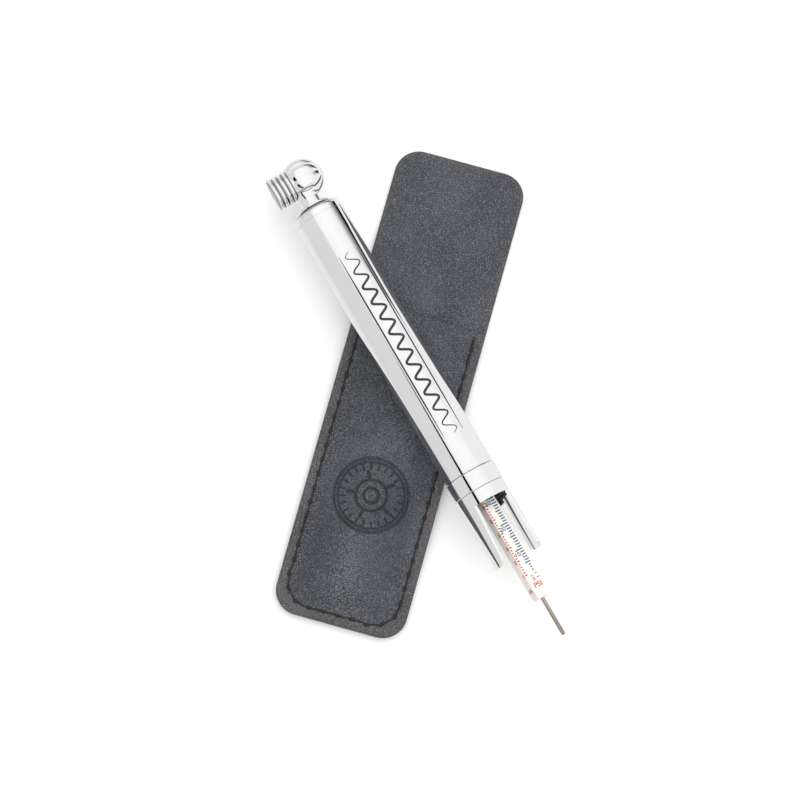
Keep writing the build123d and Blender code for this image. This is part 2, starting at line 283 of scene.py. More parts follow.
def leather():
    """Black leather with a fine grain, painted pale glints on its grain, painted highlights and shade on its
    pocket, and browner rubbed edges.
    """
    s = Shader("grained_leather")
    grain = s.noise(2900, 3, 0.6)
    cell = s.cells(2300)
    chance = s.noise(1000, 2, 0.5)
    fold = s.noise(230, 5, 0.6)
    patch = s.noise(38, 4, 0.6)
    worn = s.attribute("edge_wear")
    pressed = s.attribute("pressed")
    smooth = s.attribute("polished")
    painted_sheen = s.attribute("painted_sheen")
    cool = s.ramp(patch, (0.32, (0.011, 0.0135, 0.020)), (0.7, (0.024, 0.028, 0.038)))
    brown = s.ramp(patch, (0.3, (0.030, 0.026, 0.027)), (0.7, (0.048, 0.042, 0.044)))
    tone = s.mix(worn, cool, brown)
    cloud = s.ramp(s.noise(85, 4, 0.6), (0.3, 0.55), (0.7, 1.45))
    tone = s.mix(1.0, tone, cloud, "MULTIPLY")
    light = s.mix(worn, (0.168, 0.172, 0.190), (0.190, 0.178, 0.182))
    mottle = s.math("MULTIPLY", s.ramp(grain, (0.47, 0.0), (0.60, 1.0)), 0.42)
    # painted highlight and shade: the pale grain shows more where the attribute paints a highlight and less
    # where it paints shade
    mottle = s.math("MULTIPLY", mottle, s.ramp(painted_sheen, (0.0, 0.15), (0.5, 1.0), (1.0, 1.9)))
    tone = s.mix(mottle, tone, light)
    # painted glints: pale flecks on grain cells stand in for light caught by the grain, dimmed where the
    # leather is polished
    painted_glint = s.math("MULTIPLY", s.ramp(cell, (0.12, 1.0), (0.36, 0.0)), s.ramp(chance, (0.30, 0.0), (0.56, 1.0)))
    painted_glint = s.math("MULTIPLY", painted_glint, s.math("SUBTRACT", 0.75, s.math("MULTIPLY", smooth, 0.3)))
    tone = s.mix(painted_glint, tone, (0.29, 0.29, 0.315))
    tone = s.mix(s.math("MULTIPLY", pressed, 0.85), tone, (0.005, 0.005, 0.006))
    s.link(tone, "Base Color")
    gloss = s.ramp(grain, (0.3, 0.50), (0.8, 0.36))
    s.link(s.math("ADD", gloss, s.math("MULTIPLY", pressed, 0.25)), "Roughness")
    s.bsdf.inputs["Specular IOR Level"].default_value = 0.4
    folds = s.bump(fold, 0.6, 0.0005)
    s.link(s.bump(grain, 0.9, 0.00016, folds), "Normal")
    return s.material


def thread():
    s = Shader("waxed_thread")
    ply = s.noise(3000, 4, 0.6)
    s.link(s.ramp(ply, (0.3, (0.003, 0.003, 0.004)), (0.75, (0.014, 0.014, 0.016))), "Base Color")
    s.set(Roughness=0.7)
    s.link(s.bump(ply, 0.5, 0.00006), "Normal")
    return s.material


CHROME = chrome()
STEEL = steel()
BRASS = brass()
RUBBER = rubber()
BUSH = bush_plastic()
FELT = felt()
IVORY = ivory()
BLUE_INK = ink("blue_ink", (0.018, 0.075, 0.16), (0.09, 0.18, 0.28))
RED_INK = ink("red_ink", (0.42, 0.015, 0.03), (0.58, 0.08, 0.09))
BLACK_INK = ink("black_ink", (0.006, 0.006, 0.008), (0.03, 0.03, 0.035))
LEATHER_SKIN = leather()
THREAD = thread()

SLOT_MATERIAL = {
    "chrome": CHROME,
    "steel": STEEL,
    "brass": BRASS,
    "rubber": RUBBER,
    "bush_plastic": BUSH,
    "pad": FELT,
    "bar_plastic": IVORY,
    "case_leather": LEATHER_SKIN,
    "thread": THREAD,
}
for part in frame["record"]["subparts"]:
    node = frame["nodes"][part["node"]]
    node.data.materials.clear()
    node.data.materials.append(SLOT_MATERIAL[part["material_slot"]])


def radius_about(s, centre, keep):
    """Distance from an axis through a point; keep is 1 on the two directions across the axis."""
    offset = s.nodes.new("ShaderNodeVectorMath")
    offset.operation = "SUBTRACT"
    offset.inputs[1].default_value = centre
    s.links.new(s.place, offset.inputs[0])
    flat = s.nodes.new("ShaderNodeVectorMath")
    flat.operation = "MULTIPLY"
    flat.inputs[1].default_value = keep
    s.links.new(offset.outputs[0], flat.inputs[0])
    length = s.nodes.new("ShaderNodeVectorMath")
    length.operation = "LENGTH"
    s.links.new(flat.outputs[0], length.inputs[0])
    return length.outputs["Value"]


def axis_share(s, axis):
    """One coordinate of the object's place."""
    split = s.nodes.new("ShaderNodeSeparateXYZ")
    s.links.new(s.place, split.inputs[0])
    return split.outputs[axis]


def plating_gloss(s, dullest, plated=None):
    """A polished finish with duller smudges, and a matte one where plated is 0."""
    gloss = s.ramp(s.noise(150, 5, 0.6), (0.35, 0.02), (0.75, dullest))
    if plated:
        bare = s.math("MULTIPLY", s.math("SUBTRACT", 1, plated), 0.5)
        gloss = s.math("ADD", gloss, bare)
    s.link(gloss, "Roughness")
    s.link(s.bump(s.noise(1200, 3), 0.02, 0.00004), "Normal")


def ferrule_finish():
    """Plated outside, with painted shade down in the grooves between its ribs, and dull inside its bore."""
    low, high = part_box("chuck_ferrule")
    centre = [(a + b) / 2 for a, b in zip(low, high)]
    crest = (high[0] - low[0]) / 2
    s = Shader("ferrule_groove_shade_plating")
    away = radius_about(s, centre, (1, 0, 1))
    bore_edge, rib_depth = 4.45 * MM, 0.75 * MM
    outside = s.math("GREATER_THAN", away, bore_edge)
    depth = s.math("DIVIDE", s.math("SUBTRACT", away, crest - rib_depth), rib_depth)
    # painted shade: the colour darkens down in the grooves and brightens on the rib crests
    groove_shade, flank, bright = (0.10, 0.10, 0.105), (0.50, 0.50, 0.51), (0.95, 0.95, 0.95)
    ribs = s.ramp(depth, (0.0, groove_shade), (0.45, flank), (0.8, bright))
    s.link(s.mix(outside, (0.80, 0.79, 0.77), ribs), "Base Color")
    s.link(outside, "Metallic")
    plating_gloss(s, 0.07, outside)
    return s.material


def sleeve_finish():
    """Plated all over its open legs, but only on the outside of its closed length; the inside of that length
    is painted near black, a painted shade for the recess by the window.
    """
    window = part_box("retaining_ring")[1][0] + 0.4 * MM
    s = Shader("sleeve_inner_shade_plating")
    open_part = s.math("GREATER_THAN", axis_share(s, 0), window)
    away = radius_about(s, (0, AXIS_Y, AXIS_Z), (0, 1, 1))
    skin = s.math("GREATER_THAN", away, BARREL_R - 0.35 * MM)
    plated = s.math("MAXIMUM", open_part, skin)
    # painted shade: where plated is 0 the colour is near black; plated also sets the metal and the gloss
    s.link(s.mix(plated, (0.02, 0.018, 0.016), (0.93, 0.93, 0.93)), "Base Color")
    s.link(plated, "Metallic")
    plating_gloss(s, 0.07, plated)
    return s.material


def cap_finish():
    """Chrome, with the shade of the neck's gasket over the rim that faces it."""
    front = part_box("barrel_cap")[0][0]
    s = Shader("cap_rim_shade_plating")
    s.set(Metallic=1.0)
    back = s.math("DIVIDE", s.math("SUBTRACT", axis_share(s, 0), front), 2.0 * MM)
    # painted shade on the rim by the gasket, fading to bright chrome
    shade, fading, bright = (0.16, 0.16, 0.165), (0.36, 0.36, 0.37), (0.94, 0.94, 0.94)
    s.link(s.ramp(back, (0.0, shade), (0.22, fading), (0.5, bright)), "Base Color")
    plating_gloss(s, 0.06)
    return s.material


def blackened():
    s = Shader("blackened_spring_steel")
    mottle = s.noise(900, 4)
    s.link(s.ramp(mottle, (0.3, (0.012, 0.011, 0.011)), (0.75, (0.035, 0.03, 0.028))), "Base Color")
    s.link(s.ramp(mottle, (0.3, 0.45), (0.75, 0.6)), "Roughness")
    s.link(s.bump(mottle, 0.1, 0.00003), "Normal")
    return s.material


# own materials; the ferrule, cap and sleeve ones paint shade into their colour
OWN_FINISH_AND_SHADE = {
    "chuck_ferrule": ferrule_finish,
    "barrel_cap": cap_finish,
    "fork_sleeve": sleeve_finish,
    "retaining_ring": blackened,
}
for name, make in OWN_FINISH_AND_SHADE.items():
    frame["nodes"][name].data.materials.clear()
    frame["nodes"][name].data.materials.append(make())


# ------------------------------------------------------------------ mesh helpers
def add_piece(name, vertices, faces, material, body, slot, smooth=True, attributes=()):
    """A new mesh piece that rides on a body. attributes are (name, values per vertex)."""
    mesh = bpy.data.meshes.new(name)
    mesh.from_pydata(vertices, [], faces)
    mesh.validate()
    builder = bmesh.new()
    builder.from_mesh(mesh)
    bmesh.ops.recalc_face_normals(builder, faces=builder.faces)
    builder.to_mesh(mesh)
    builder.free()
    for key, values in attributes:
        layer = mesh.attributes.new(key, "FLOAT", "POINT")
        layer.data.foreach_set("value", values)
    mesh.polygons.foreach_set("use_smooth", [smooth] * len(mesh.polygons))
    piece = bpy.data.objects.new(name, mesh)
    bpy.context.scene.collection.objects.link(piece)
    mesh.materials.append(material)
    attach(piece, body)
    return piece


def tube_faces(first, rings, sides):
    """The skin of a run of rings of vertices, closed at both ends."""
    faces = []
    for step in range(rings - 1):
        for side in range(sides):
            a = first + step * sides + side
            b = first + step * sides + (side + 1) % sides
            faces.append((a, b, b + sides, a + sides))
    faces.append(tuple(first + k for k in range(sides)))
    last = first + (rings - 1) * sides
    faces.append(tuple(last + k for k in reversed(range(sides))))
    return faces


def smoothstep(low, high, value):
    t = min(max((value - low) / (high - low), 0.0), 1.0)
    return t * t * (3 - 2 * t)


def wave(x, y):
    """A slow uneven swell between -1 and 1, the same on every run."""
    a = math.sin(x * 210 + 1.3) * math.cos(y * 330 + 0.4)
    b = math.sin(x * 95 - y * 180 + 2.1)
    c = math.sin(x * 460 + y * 390) * 0.4
    return (a + b + c) / 2.4


# ------------------------------------------------------------------ leather panels
def edge_distance(x, y):
    """How far a point of the case's outline lies inside its edge."""
    dx = abs(x) - (CASE_LENGTH / 2 - CASE_CORNER)
    dy = abs(y) - (CASE_WIDTH / 2 - CASE_CORNER)
    outside = math.hypot(max(dx, 0), max(dy, 0)) + min(max(dx, dy), 0)
    return CASE_CORNER - outside


def half_width(x):
    """Half the case's width at a station along it."""
    past = abs(x) - (CASE_LENGTH / 2 - CASE_CORNER)
    if past <= 0:
        return CASE_WIDTH / 2
    inner = CASE_WIDTH / 2 - CASE_CORNER
    return inner + math.sqrt(max(CASE_CORNER**2 - past**2, 0))


def seam_distance(x, y):
    """Distance from the stitched line, which runs down both sides and round the bottom."""
    dx = x - (CASE_LENGTH / 2 - SEAM_INSET - SEAM_CORNER)
    dy = abs(y) - (CASE_WIDTH / 2 - SEAM_INSET - SEAM_CORNER)
    outside = math.hypot(max(dx, 0), max(dy, 0)) + min(max(dx, dy), 0)
    return SEAM_CORNER - outside


def stations(low, high, coarse, fine_low=None, fine_high=None, fine=None):
    """Places from low to high: crowded at both ends for the rounded edge, and finer in between."""
    rim = [0.0, 0.06 * MM, 0.16 * MM, 0.32 * MM, 0.55 * MM]
    places = [low + r for r in rim] + [high - r for r in rim]
    here = low + rim[-1]
    while here < high - rim[-1] - coarse * 0.4:
        inside = fine_low is not None and fine_low <= here < fine_high
        here += fine if inside else coarse
        if here < high - rim[-1] - coarse * 0.4:
            places.append(here)
    return sorted(places)


def corner_rows(low, high):
    """Extra rows where the outline's corners turn, so that they stay round."""
    rows = []
    for step in range(1, 12):
        turn = math.radians(90) * step / 12
        reach = CASE_CORNER * math.sin(turn)
        rows += [-CASE_LENGTH / 2 + CASE_CORNER - reach, CASE_LENGTH / 2 - CASE_CORNER + reach]
    return [x for x in rows if low < x < high]


def thin_out(places, least=0.05 * MM):
    kept = []
    for place in sorted(places):
        if not kept or place - kept[-1] > least:
            kept.append(place)
    return kept


def edge_round(distance, radius=0.5 * MM):
    """How much a cut edge is rounded off at a distance inside it."""
    if distance >= radius:
        return 0.0
    inside = max(distance, 0.0)
    return radius - math.sqrt(max(radius**2 - (radius - inside) ** 2, 0))


def panel(name, rows, columns, top, bottom, attributes, node):
    """A closed skin of leather over a grid of stations; rows narrow with the outline's corners."""
    turn = Matrix.Translation(CASE_CENTRE) @ Matrix.Rotation(CASE_TURN, 4, "Z")
    vertices, values = [], [[] for _ in attributes]
    for side in (top, bottom):
        for x in rows:
            for share in columns:
                y = share * half_width(x)
                vertices.append(turn @ Vector((x, y, side(x, y))))
                for store, (_, rule) in zip(values, attributes):
                    store.append(rule(x, y))
    wide, layer = len(columns), len(rows) * len(columns)
    faces = []
    for i in range(len(rows) - 1):
        for j in range(wide - 1):
            a = i * wide + j
            faces.append((a, a + 1, a + wide + 1, a + wide))
            faces.append(tuple(layer + k for k in (a, a + wide, a + wide + 1, a + 1)))
    last = (len(rows) - 1) * wide
    for j in range(wide - 1):
        faces.append((j, layer + j, layer + j + 1, j + 1))
        faces.append((last + j, last + j + 1, layer + last + j + 1, layer + last + j))
    for i in range(len(rows) - 1):
        a = i * wide
        b = a + wide - 1
        faces.append((a, a + wide, layer + a + wide, layer + a))
        faces.append((b, layer + b, layer + b + wide, b + wide))
    named = [(key, store) for (key, _), store in zip(attributes, values)]
    piece = add_piece(name, vertices, faces, LEATHER_SKIN, "case", "case_leather", attributes=named)
    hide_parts(node)
    return piece


def share_columns(fine_half=None, fine=None, coarse=0.6 * MM):
    """Column places across the case as shares of its half width."""
    half = CASE_WIDTH / 2
    low, high = (-fine_half, fine_half) if fine_half else (None, None)
    return [y / half for y in thin_out(stations(-half, half, coarse, low, high, fine))]


def back_top(x, y):
    swell = LEATHER_SWELL * wave(x, y)
    inside = edge_distance(x, y)
    return PANEL_TOP - edge_round(inside) - (LEATHER_SWELL - swell) * smoothstep(0, 3 * MM, inside)


def back_bottom(x, y):
    return edge_round(edge_distance(x, y), 0.3 * MM)


def back_sheen(x, y):
    """How much painted highlight the hide gets, about a middling 0.5: slow patches over the back panel."""
    return 0.5 + 0.16 * wave(x, y * 1.3)


def case_back():
    rows = stations(-CASE_LENGTH / 2, CASE_LENGTH / 2, 0.9 * MM)
    rows = thin_out(rows + corner_rows(-CASE_LENGTH / 2, CASE_LENGTH / 2))
    wear = ("edge_wear", lambda x, y: 0.75 * (1 - smoothstep(0, 2.2 * MM, edge_distance(x, y))))

    def pressed(x, y):
        return 0.3 * (1 - smoothstep(0, 0.5 * MM, edge_distance(x, y)))

    rules = [wear, ("pressed", pressed), ("polished", lambda x, y: 0.0), ("painted_sheen", back_sheen)]
    piece = panel(
        "back_leather", rows, share_columns(), back_top, back_bottom, rules, "case_back_panel"
    )
    return piece


def emblem(x, y):
    """Depth from 0 to 1 of a plain dial pressed into the leather: rings, spokes, hub and ticks."""
    dx, dy = x - EMBLEM_X, y
    r = math.hypot(dx, dy) / EMBLEM_R
    if r > 1.12:
        return 0.0
    angle = math.atan2(dy, dx)

    def line(value, at, width):
        return 1 - smoothstep(width * 0.5, width, abs(value - at))

    depth = max(line(r, 1.0, 0.05), line(r, 0.90, 0.035), line(r, 0.42, 0.04), line(r, 0.20, 0.05))
    tick = abs(math.sin(angle * 12)) * r / 12
    if 0.70 < r < 0.87:
        depth = max(depth, 1 - smoothstep(0.012, 0.026, tick))
    spoke = abs(math.sin(angle * 2.5 + 0.6)) * r / 2.5
    if 0.44 < r < 0.68:
        depth = max(depth, 1 - smoothstep(0.03, 0.05, spoke))
    return depth


def bulge(x, y):
    """How far the formed pocket stands above its sewn border, from 0 to 1."""
    inside = seam_distance(x, y)
    rise = smoothstep(0.6 * MM, 9.5 * MM, inside)
    crown = 1 - 0.12 * (y / (CASE_WIDTH / 2)) ** 2
    dent = 0.10 * math.exp(-((y - 2 * MM) ** 2) / (5 * MM) ** 2) * smoothstep(40 * MM, 60 * MM, x)
    return rise * crown - dent * rise


def front_top(x, y):
    flat = PANEL_TOP + LEATHER
    inside = min(edge_distance(x, y), x - MOUTH)
    rise = bulge(x, y)
    height = flat + (POCKET_TOP - flat - POCKET_SLACK) * rise + POCKET_SWELL * wave(x, y) * rise
    channel = SEAM_DEPTH * math.exp(-(seam_distance(x, y) / (0.8 * MM)) ** 2)
    pressed = EMBLEM_DEPTH * emblem(x, y)
    return height - edge_round(inside) - channel - pressed


def front_bottom(x, y):
    rise = bulge(x, y)
    lip = edge_round(min(edge_distance(x, y), x - MOUTH), 0.3 * MM)
    return PANEL_TOP + (POCKET_TOP - PANEL_TOP - LEATHER - POCKET_SLACK) * rise + lip


def spot(x, y, at_x, at_y, reach_x, reach_y):
    return math.exp(-(((x - at_x) / reach_x) ** 2) - ((y - at_y) / reach_y) ** 2)


def pocket_sheen(x, y):
    """How much painted highlight the pocket gets: bright down its middle fold, painted shade in the hollows
    beside it.
    """
    end = CASE_LENGTH / 2
    patches = (
        (0.42, end - 17 * MM, -0.5 * MM, 12 * MM, 3.2 * MM),
        (0.25, end - 8 * MM, 0, 5 * MM, 12 * MM),
        (0.22, EMBLEM_X - 17 * MM, 1 * MM, 9 * MM, 6 * MM),
        (0.30, EMBLEM_X, -0.5 * MM, 12 * MM, 2.6 * MM),
        (-0.30, end - 24 * MM, 10 * MM, 12 * MM, 4 * MM),
        (-0.30, end - 24 * MM, -10 * MM, 12 * MM, 4 * MM),
        (-0.25, EMBLEM_X, 11 * MM, 9 * MM, 4 * MM),
    )
    value = 0.5 + 0.14 * wave(x, y)
    for gain, *place in patches:
        value += gain * spot(x, y, *place)
    return min(max(value, 0.0), 1.0)


def case_front():
    near, far = EMBLEM_X - EMBLEM_REACH, EMBLEM_X + EMBLEM_REACH
    rows = stations(MOUTH, CASE_LENGTH / 2, 0.6 * MM, near, far, EMBLEM_GRID)
    rows = thin_out(rows + corner_rows(MOUTH, CASE_LENGTH / 2))
    columns = share_columns(EMBLEM_REACH, EMBLEM_GRID, 0.4 * MM)

    def wear(x, y):
        border = 1 - smoothstep(-0.5 * MM, 1.2 * MM, seam_distance(x, y))
        return 0.85 * border

    def pressed(x, y):
        channel = 0.35 * math.exp(-(seam_distance(x, y) / (0.4 * MM)) ** 2)
        near = math.hypot(x - EMBLEM_X, y) / EMBLEM_R
        patch = 0.22 * (1 - smoothstep(0.6, 1.25, near))
        mouth = 0.5 * (1 - smoothstep(0, 0.5 * MM, x - MOUTH))
        return max(channel, patch + 0.62 * emblem(x, y), mouth)

    def polished(x, y):
        return bulge(x, y) * (1 - 0.6 * smoothstep(42 * MM, 60 * MM, x))

    rules = [("edge_wear", wear), ("pressed", pressed), ("polished", polished)]
    rules.append(("painted_sheen", pocket_sheen))
    piece = panel(
        "pocket_leather", rows, columns, front_top, front_bottom, rules, "case_front_panel"
    )
    return piece


# ------------------------------------------------------------------ stitching
def seam_points():
    """Even stations along the stitched line: (x, y, heading)."""
    half = CASE_WIDTH / 2 - SEAM_INSET
    bottom = CASE_LENGTH / 2 - SEAM_INSET
    side = bottom - SEAM_CORNER - MOUTH - 1 * MM
    quarter = SEAM_CORNER * math.pi / 2
    across = 2 * (half - SEAM_CORNER)
    total = 2 * side + 2 * quarter + across
    count = round(total / STITCH_PITCH)

    def at(s):
        if s > total / 2:
            x, y, heading = at(total - s)
            return x, -y, math.pi - heading
        if s <= side:
            return MOUTH + 1 * MM + s, half, 0.0
        s -= side
        if s <= quarter:
            turn = s / SEAM_CORNER
            x = bottom - SEAM_CORNER + SEAM_CORNER * math.sin(turn)
            return x, half - SEAM_CORNER + SEAM_CORNER * math.cos(turn), -turn
        s -= quarter
        return bottom, half - SEAM_CORNER - s, -math.pi / 2

    return [at((n + 0.5) * total / count) for n in range(count)]


def knot(x, y, heading, ground, sides, rings=4):
    """The flattened lump where two stitches meet in a hole, as rings of points from top to bottom."""
    ahead = STITCH_LENGTH * 0.6
    centre = Vector((x + math.cos(heading) * ahead, y + math.sin(heading) * ahead, ground))
    points = []
    for step in range(1, rings + 1):
        lean = math.pi * step / (rings + 1)
        for side in range(sides):
            around = 2 * math.pi * side / sides
            along = 1.05 * MM * math.sin(lean) * math.cos(around)
            across = 0.60 * MM * math.sin(lean) * math.sin(around)
            offset = Vector((along, across, 0))
            offset.rotate(Matrix.Rotation(heading, 3, "Z"))
            up = Vector((0, 0, 0.22 * MM + 0.26 * MM * math.cos(lean)))
            points.append(centre + offset + up)
    return points


def thread_run(x, y, heading, shift, ground, sides, steps):
    """One stitch's thread, which dips into the leather at both ends. shift moves it to one side."""
    along = Vector((math.cos(heading), math.sin(heading), 0))
    aside = Vector((-along.y, along.x, 0))
    centre = Vector((x, y - math.copysign(shift, y), 0)) + along * shift * 2
    points = []
    for step in range(steps + 1):
        t = step / steps * 2 - 1
        lift = 0.16 * MM - 0.62 * MM * abs(t) ** 5
        thick = THREAD_R * (1 - 0.35 * abs(t) ** 3)
        middle = centre + along * t * STITCH_LENGTH / 2
        for side in range(sides):
            around = 2 * math.pi * side / sides
            offset = aside * math.cos(around) * thick * 1.1
            up = Vector((0, 0, math.sin(around) * thick * 0.8 + ground + lift))
            points.append(middle + offset + up)
    return points


def stitches():
    """Waxed thread that rises out of one hole and dives into the next, doubled at the mouth."""
    turn = Matrix.Translation(CASE_CENTRE) @ Matrix.Rotation(CASE_TURN, 4, "Z")
    sides, steps = 8, 10
    places = seam_points()
    doubled = [p for p in places if p[0] < MOUTH + 12 * MM]
    ground = PANEL_TOP + LEATHER - 0.28 * MM
    runs = [knot(*place, ground, sides) for place in places]
    for shift, group in ((0.0, places), (0.42 * MM, doubled)):
        runs += [thread_run(*place, shift, ground, sides, steps) for place in group]
    vertices, faces = [], []
    for points in runs:
        faces += tube_faces(len(vertices), len(points) // sides, sides)
        vertices += [turn @ point for point in points]
    piece = add_piece("case_stitches", vertices, faces, THREAD, "case", "thread")
    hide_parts("case_stitching")
    return piece


# ------------------------------------------------------------------ printed marks
def bar_point(x, across, lift, face):
    """A point on a face of the indicator bar. Face 0 is the main one, 1 the one to its left."""
    turn = BAR_ROLL + math.radians(90) * face
    out = Vector((0, -math.sin(turn), math.cos(turn)))
    side = Vector((0, math.cos(turn), math.sin(turn)))
    centre = Vector((x, AXIS_Y, AXIS_Z))
    return centre + out * (BAR_SIDE / 2 + lift) + side * across


def bar_mark(store, x, across, width, height, face):
    """A flat printed mark, width along the bar and height across it."""
    vertices, faces = store
    first = len(vertices)
    for lift in (-0.01 * MM, INK_LIFT):
        for dx, dy in ((-1, -1), (1, -1), (1, 1), (-1, 1)):
            vertices.append(bar_point(x + dx * width / 2, across + dy * height / 2, lift, face))
    for quad in ((0, 1, 2, 3), (4, 7, 6, 5), (0, 4, 5, 1), (1, 5, 6, 2), (2, 6, 7, 3), (3, 7, 4, 0)):
        faces.append(tuple(first + k for k in quad))


def bar_text(store, text, x, across, size, face):
    """Figures in outline, laid flat on a face, reading across the bar."""
    curve = bpy.data.curves.new("figures", "FONT")
    curve.body = text
    curve.size = size
    curve.align_x = "CENTER"
    curve.align_y = "CENTER"
    curve.extrude = 0.012 * MM
    curve.offset = size * 0.022
    curve.resolution_u = 4
    holder = bpy.data.objects.new("figures", curve)
    bpy.context.scene.collection.objects.link(holder)
    bpy.context.view_layer.update()
    mesh = bpy.data.meshes.new_from_object(holder)
    vertices, faces = store
    first = len(vertices)
    for vertex in mesh.vertices:
        u, v, w = vertex.co
        vertices.append(bar_point(x - v, across + u, w + 0.008 * MM, face))
    for polygon in mesh.polygons:
        faces.append(tuple(first + k for k in polygon.vertices))
    bpy.data.objects.remove(holder)
    bpy.data.meshes.remove(mesh)
    bpy.data.curves.remove(curve)


def scales():
    """The blue scale on the main face, and the red one along its edge and the next face."""
    blue, red = ([], []), ([], [])
    right = BAR_SIDE / 2
    first_mark, last_mark = 2, 50
    for count in range(first_mark, last_mark + 1):
        x = ZERO_X - count * PSI
        low_end = count < 5
        if count % 10 == 0:
            length = 2.7 * MM
        elif count % 5 == 0:
            length = 1.8 * MM
        else:
            length = 0.7 * MM if low_end else 1.45 * MM
        inset = 0.90 * MM if low_end else 0.55 * MM
        bar_mark(blue, x, right - inset - length / 2, 0.42 * MM, length, 0)
        if count % 10 == 0:
            bar_text(blue, str(count), x + 1.25 * MM, -0.85 * MM, 1.9 * MM, 0)
    bar_mark(red, ZERO_X - 0.4 * MM, right - 1.1 * MM, 0.30 * MM, 0.8 * MM, 0)
    bar_mark(red, ZERO_X + 0.9 * MM, right - 0.9 * MM, 0.30 * MM, 0.9 * MM, 0)
    bar_mark(red, ZERO_X - 0.2 * MM, -0.35 * MM, 0.30 * MM, 0.7 * MM, 0)
    bar_text(red, "0", ZERO_X + 1.0 * MM, -0.2 * MM, 1.7 * MM, 0)
    bar_text(red, "PSI", ZERO_X + 2.9 * MM, 0.1 * MM, 2.2 * MM, 0)
    for count in range(46):
        x = ZERO_X - 1.0 * MM - count * 0.94 * MM
        numbered = count % 5 == 0
        length = 0.8 * MM if numbered else 0.5 * MM
        bar_mark(red, x, -right + 0.2 * MM + length / 2, 0.46 * MM, length, 0)
        if numbered:
            bar_text(red, str(count * 4), x, right - 1.15 * MM, 1.7 * MM, 1)
    bar_text(red, "kPa", ZERO_X + 3.7 * MM, 0.1 * MM, 1.8 * MM, 1)
    add_piece("blue_scale", *blue, BLUE_INK, "indicator", "bar_plastic", smooth=False)
    add_piece("red_scale", *red, RED_INK, "indicator", "bar_plastic", smooth=False)


def barrel_decoration():
    """A plain printed ornament along the barrel: an even running wave between two straight lines."""
    vertices, faces = [], []
    start, end = BARREL_START + 14.5 * MM, BARREL_END - 12 * MM
    lean = math.radians(10.5)

    def surface(x, arc, lift):
        turn = lean + arc / BARREL_R
        r = BARREL_R + lift
        return Vector((x, AXIS_Y + r * math.sin(turn), AXIS_Z + r * math.cos(turn)))

    def draw(points, arc, width):
        """A line of even width through the points, tapered at both ends."""
        first = len(vertices)
        last = len(points) - 1
        for k, (px, py) in enumerate(points):
            ax, ay = points[max(k - 1, 0)]
            bx, by = points[min(k + 1, last)]
            length = math.hypot(bx - ax, by - ay) or 1.0
            dx, dy = (bx - ax) / length, (by - ay) / length
            taper = min(1.0, 0.25 + 4 * min(k, last - k) / last)
            half = width / 2 * taper
            for lift in (-0.01 * MM, 0.015 * MM):
                for side in (-1, 1):
                    spot = (start + px - dy * side * half, arc - py - dx * side * half)
                    vertices.append(surface(*spot, lift))
        for k in range(last):
            a = first + k * 4
            b = a + 4
            faces.extend(((a, b, b + 1, a + 1), (a + 2, a + 3, b + 3, b + 2)))
            faces.extend(((a, a + 2, b + 2, b), (a + 1, b + 1, b + 3, a + 3)))
        a = first + last * 4
        faces.append((first, first + 1, first + 3, first + 2))
        faces.append((a, a + 2, a + 3, a + 1))

    waves, steps = 12, 24
    pitch = (end - start) / waves
    height = 1.7 * MM
    ripple = []
    for k in range(waves * steps + 1):
        turn = 2 * math.pi * k / steps
        ripple.append((pitch * k / steps, height * math.sin(turn)))
    draw(ripple, 0.0, 0.8 * MM)
    straight = [(pitch * k / 4, 0.0) for k in range(4 * waves + 1)]
    for side in (-1, 1):
        draw(straight, side * 3.3 * MM, 0.5 * MM)
    add_piece("barrel_ornament", vertices, faces, BLACK_INK, "gauge", "chrome", smooth=False)


# ------------------------------------------------------------------ main spring
def spring():
    """The coil spring, wound evenly along the length of the CAD spring."""
    low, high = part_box("main_spring")
    steps, sides = 36, 10
    radius = (high[1] - low[1]) / 2 - SPRING_WIRE_R
    start, length = low[0] + SPRING_WIRE_R, high[0] - low[0] - 2 * SPRING_WIRE_R
    vertices = []
    total = SPRING_COILS * steps
    for step in range(total + 1):
        turn = 2 * math.pi * step / steps
        spine = Vector((start + length * step / total, AXIS_Y, AXIS_Z))
        out = Vector((0, math.cos(turn), math.sin(turn)))
        for side in range(sides):
            around = 2 * math.pi * side / sides
            reach = out * (radius + SPRING_WIRE_R * math.cos(around))
            vertices.append(spine + reach + Vector((SPRING_WIRE_R * math.sin(around), 0, 0)))
    faces = tube_faces(0, total + 1, sides)
    piece = add_piece("coil_spring", vertices, faces, STEEL, "gauge", "steel")
    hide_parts("main_spring")
    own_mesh(piece)


# ------------------------------------------------------------------ stage: floor, cards, lamps
def emitter(name, colour, strength):
    material = bpy.data.materials.new(name)
    material.use_nodes = True
    nodes = material.node_tree.nodes
    nodes.clear()
    glow = nodes.new("ShaderNodeEmission")
    glow.inputs["Color"].default_value = (*colour, 1)
    glow.inputs["Strength"].default_value = strength
    output = nodes.new("ShaderNodeOutputMaterial")
    material.node_tree.links.new(glow.outputs[0], output.inputs["Surface"])
    return material


def card(name, corners, material):
    """A flat card that lights and is reflected, but isn't seen itself."""
    mesh = bpy.data.meshes.new(name)
    mesh.from_pydata(corners, [], [tuple(range(len(corners)))])
    obj = bpy.data.objects.new(name, mesh)
    bpy.context.scene.collection.objects.link(obj)
    mesh.materials.append(material)
    obj.visible_camera = False
    return obj


def floor():
    s = Shader("pale_floor")
    cloud = s.noise(3, 3)
    s.link(s.ramp(cloud, (0.3, 0.86), (0.7, 0.88)), "Base Color")
    s.set(Roughness=0.75)
    s.bsdf.inputs["Specular IOR Level"].default_value = 0.1
    mesh = bpy.data.meshes.new("floor")
    reach = 6.0
    mesh.from_pydata(
        [(-reach, -reach, 0), (reach, -reach, 0), (reach, reach, 0), (-reach, reach, 0)],
        [], [(0, 1, 2, 3)],
    )
    obj = bpy.data.objects.new("floor", mesh)
    obj.location.z = -0.0002
    bpy.context.scene.collection.objects.link(obj)
    mesh.materials.append(s.material)


